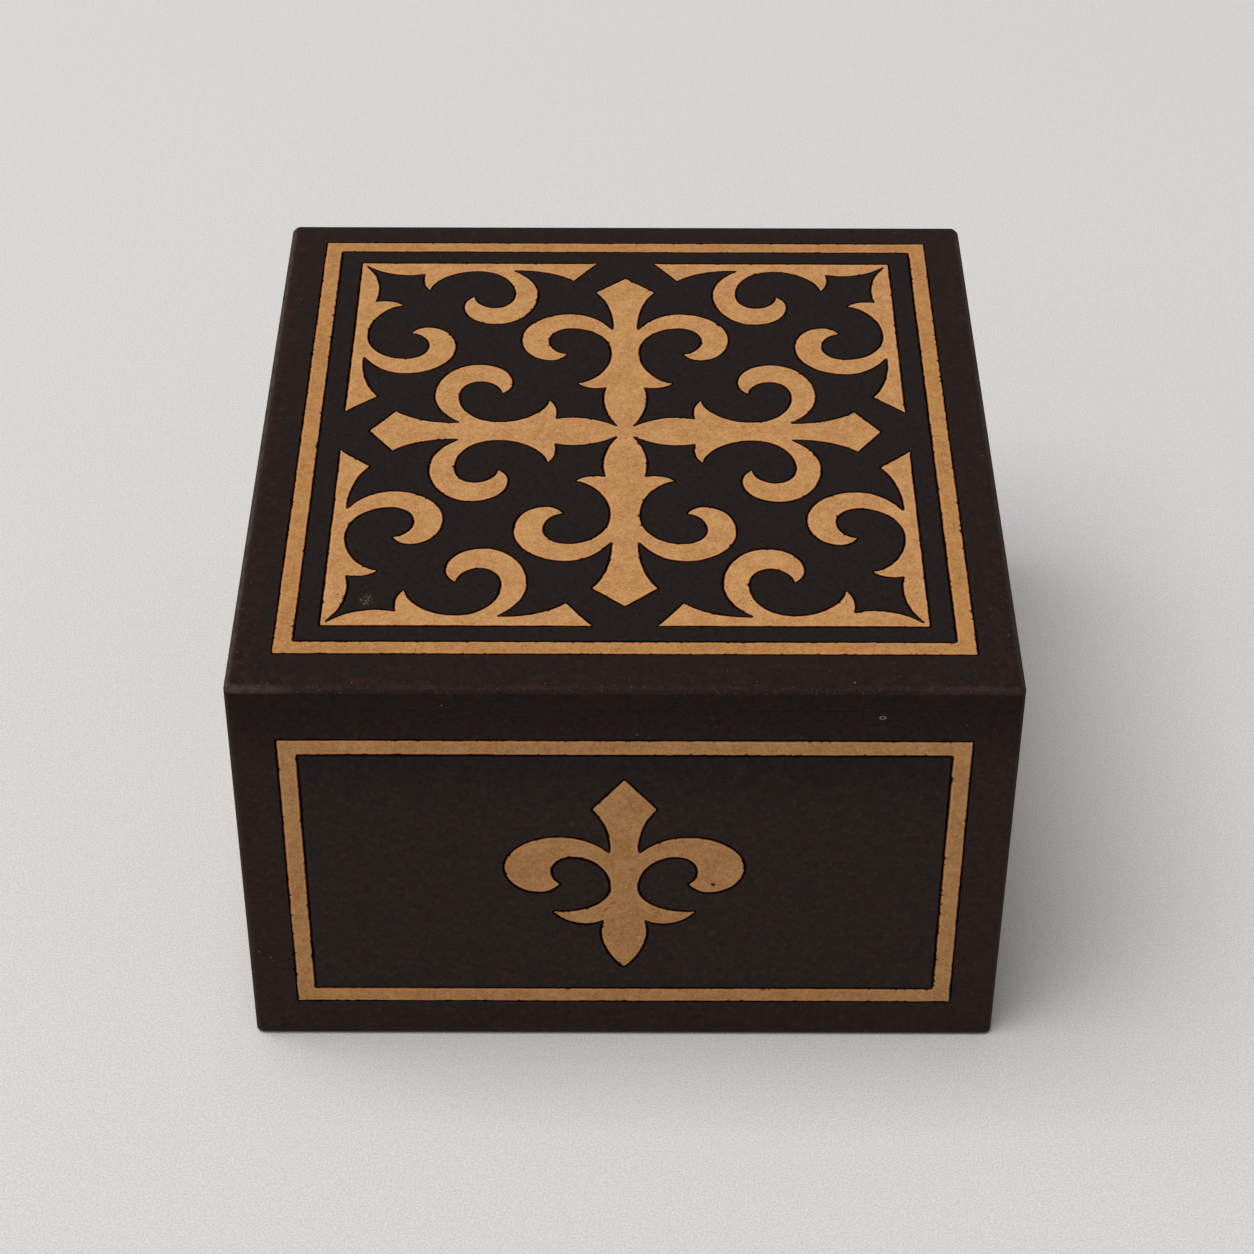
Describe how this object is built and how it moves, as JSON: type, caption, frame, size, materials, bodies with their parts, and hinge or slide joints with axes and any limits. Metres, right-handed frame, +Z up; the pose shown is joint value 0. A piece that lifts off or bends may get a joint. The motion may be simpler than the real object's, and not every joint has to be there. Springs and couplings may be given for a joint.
{
  "type": "puzzle box",
  "caption": "Dark fibreboard puzzle box with tan fleur inlay; its lid slides back once hidden lock pins are drawn apart.",
  "frame": {"origin": "centre of the box's footprint, on the surface it stands on", "axes": "+Z up, the front face looks along -Y, +X to the right seen from the front; the lid slides along +Y"},
  "size_m": [0.105, 0.114, 0.0647],
  "materials": {
    "dark_board": "dark brown-black stained fibreboard, matt, worn reddish brown along the edges",
    "dark_field": "charcoal stained fibreboard, matt",
    "tan_inlay": "natural tan fibreboard, sanded flush, edges scorched by the laser",
    "natural_board": "natural fibreboard, unfinished, dark laser-cut edges",
    "pin_steel": "turned steel"
  },
  "bodies": {
    "box": {"front_board": "dark_board", "right_board": "dark_board", "back_board": "dark_board", "left_board": "dark_board", "front_frame_inlay": "tan_inlay", "front_field_inlay": "dark_field", "front_fleur_inlay": "tan_inlay", "right_frame_inlay": "tan_inlay", "right_field_inlay": "dark_field", "right_fleur_inlay": "tan_inlay", "back_frame_inlay": "tan_inlay", "back_field_inlay": "dark_field", "back_fleur_inlay": "tan_inlay", "left_frame_inlay": "tan_inlay", "left_field_inlay": "dark_field", "left_fleur_inlay": "tan_inlay", "base_board": "natural_board", "front_liner": "natural_board", "back_liner": "natural_board", "side_liner_left": "natural_board", "side_liner_right": "natural_board", "lid_guide_left": "natural_board", "lid_guide_right": "natural_board", "lock_shelf": "natural_board", "lock_front_guide_left": "natural_board", "lock_front_guide_right": "natural_board", "lock_rear_guide_left": "natural_board", "lock_rear_guide_right": "natural_board", "lock_end_stop_left": "natural_board", "lock_end_stop_right": "natural_board", "lock_cap_left": "natural_board", "lock_cap_right": "natural_board"},
    "lid": {"lid_board": "dark_board", "lid_frame_inlay": "tan_inlay", "lid_field_inlay": "dark_field", "lid_cross_inlay": "tan_inlay", "lid_corner_front_left_inlay": "tan_inlay", "lid_corner_front_right_inlay": "tan_inlay", "lid_corner_back_left_inlay": "tan_inlay", "lid_corner_back_right_inlay": "tan_inlay", "lid_runner_left": "natural_board", "lid_runner_right": "natural_board", "lid_tongue_left": "natural_board", "lid_tongue_right": "natural_board", "lid_keeper_front": "natural_board", "lid_keeper_rear": "natural_board"},
    "pin_left": {"lock_pin_left": "pin_steel"},
    "pin_right": {"lock_pin_right": "pin_steel"}
  },
  "joints": [
    {"name": "lid_slide", "type": "slide", "parent": "box", "child": "lid", "axis": [0, 1, 0], "range_m": [0, 0.071]},
    {"name": "pin_left_slide", "type": "slide", "parent": "box", "child": "pin_left", "axis": [1, 0, 0], "range_m": [0, 0.0092]},
    {"name": "pin_right_slide", "type": "slide", "parent": "box", "child": "pin_right", "axis": [-1, 0, 0], "range_m": [0, 0.0092]}
  ]
}
